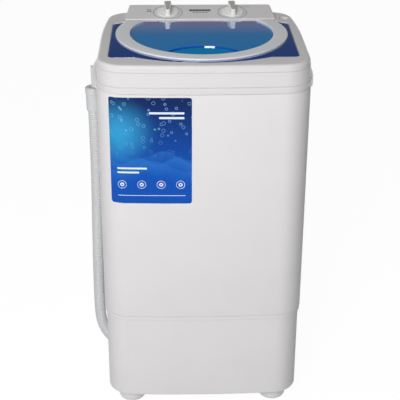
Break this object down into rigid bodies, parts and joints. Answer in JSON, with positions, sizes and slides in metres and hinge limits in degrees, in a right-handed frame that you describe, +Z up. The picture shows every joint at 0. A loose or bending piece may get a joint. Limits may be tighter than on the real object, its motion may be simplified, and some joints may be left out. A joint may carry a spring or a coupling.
{
  "type": "compact top-loading washing machine",
  "caption": "Compact single-tub top-loading washer on round feet, with a hinged see-through lid, control knobs, side lips and a ribbed drain hose hooked up its left side.",
  "frame": {"origin": "on the floor under the middle of the machine's box, drain hose left out", "axes": "+Z up, -Y towards the user at the front, +X to the user's right"},
  "size_m": [0.4859, 0.39, 0.8424],
  "materials": {
    "cabinet_plastic": "white moulded plastic with a soft gloss",
    "cover_plastic": "white glossy moulded plastic",
    "clear_blue_plastic": "clear blue glossy plastic",
    "knob_plastic": "white glossy moulded plastic",
    "tub_plastic": "pale moulded polypropylene",
    "foot_plastic": "white matt plastic",
    "hose_plastic": "light grey flexible ribbed plastic",
    "strap_plastic": "grey flexible plastic",
    "dark_plastic": "dark filled plastic",
    "label_film": "printed blue film",
    "steel": "bright ground steel",
    "zinc_steel": "zinc-plated steel",
    "painted_steel": "dark painted steel",
    "cast_aluminium": "as-cast aluminium",
    "bronze": "oiled sintered bronze",
    "copper_winding": "varnished copper winding on steel",
    "black_rubber": "black rubber"
  },
  "bodies": {
    "cabinet": {"cabinet_shell": "cabinet_plastic", "base_skirt": "cabinet_plastic", "top_cover": "cover_plastic", "control_panel": "cover_plastic", "back_cover": "cabinet_plastic", "back_cover_screw_1": "zinc_steel", "back_cover_screw_2": "zinc_steel", "back_cover_screw_3": "zinc_steel", "back_cover_screw_4": "zinc_steel", "front_left_foot": "foot_plastic", "front_right_foot": "foot_plastic", "rear_left_foot": "foot_plastic", "rear_right_foot": "foot_plastic", "left_handle": "cover_plastic", "right_handle": "cover_plastic", "wash_tub": "tub_plastic", "drain_strainer": "tub_plastic", "motor_plate": "zinc_steel", "plate_screw_1": "zinc_steel", "plate_screw_2": "zinc_steel", "plate_screw_3": "zinc_steel", "motor_housing": "painted_steel", "motor_stator": "copper_winding", "motor_mount_1": "black_rubber", "motor_mount_2": "black_rubber", "motor_mount_3": "black_rubber", "capacitor": "cast_aluminium", "bearing_housing": "cast_aluminium", "upper_bush": "bronze", "lower_bush": "bronze", "shaft_seal": "black_rubber", "drain_pipe": "hose_plastic", "hose_clip": "zinc_steel", "drive_belt": "black_rubber", "timer_switch": "dark_plastic", "mode_switch": "dark_plastic", "inlet_spout": "cover_plastic", "cord_gland": "black_rubber", "wiring_loom": "black_rubber", "front_label": "label_film", "left_hinge_bracket": "dark_plastic", "right_hinge_bracket": "dark_plastic", "drain_hose": "hose_plastic", "hose_cuff": "hose_plastic", "hose_hook": "strap_plastic"},
    "lid": {"lid": "clear_blue_plastic", "lid_ring": "cover_plastic", "left_hinge_pin": "steel", "right_hinge_pin": "steel"},
    "timer_dial": {"timer_knob": "knob_plastic", "timer_shaft": "steel"},
    "mode_dial": {"mode_knob": "knob_plastic", "mode_shaft": "steel"},
    "wash_drive": {"pulsator": "tub_plastic", "pulsator_screw": "steel", "wash_shaft": "steel", "large_pulley": "dark_plastic", "pulley_nut": "zinc_steel"},
    "motor_drive": {"motor_rotor": "steel", "motor_pulley": "dark_plastic"}
  },
  "joints": [
    {"name": "lid_hinge", "type": "hinge", "parent": "cabinet", "child": "lid", "pos_m": [0, 0.1085, 0.8098], "axis": [-1, 0, 0], "range_deg": [0, 100]},
    {"name": "timer_knob_turn", "type": "hinge", "parent": "cabinet", "child": "timer_dial", "pos_m": [0.0715, 0.151, 0.82168], "axis": [0, 0.1722, -0.9851], "range_deg": [0, 300]},
    {"name": "mode_knob_turn", "type": "hinge", "parent": "cabinet", "child": "mode_dial", "pos_m": [-0.0715, 0.151, 0.82168], "axis": [0, 0.1722, -0.9851], "range_deg": [-60, 60]},
    {"name": "wash_spin", "type": "hinge", "parent": "cabinet", "child": "wash_drive", "pos_m": [0, 0, 0.3], "axis": [0, 0, 1], "continuous": true},
    {"name": "motor_spin", "type": "hinge", "parent": "cabinet", "child": "motor_drive", "pos_m": [0.105, 0.03, 0.3], "axis": [0, 0, 1], "continuous": true}
  ],
  "couplings": [
    {"joint": "motor_spin", "follows": "wash_spin", "ratio": 4.0625}
  ]
}
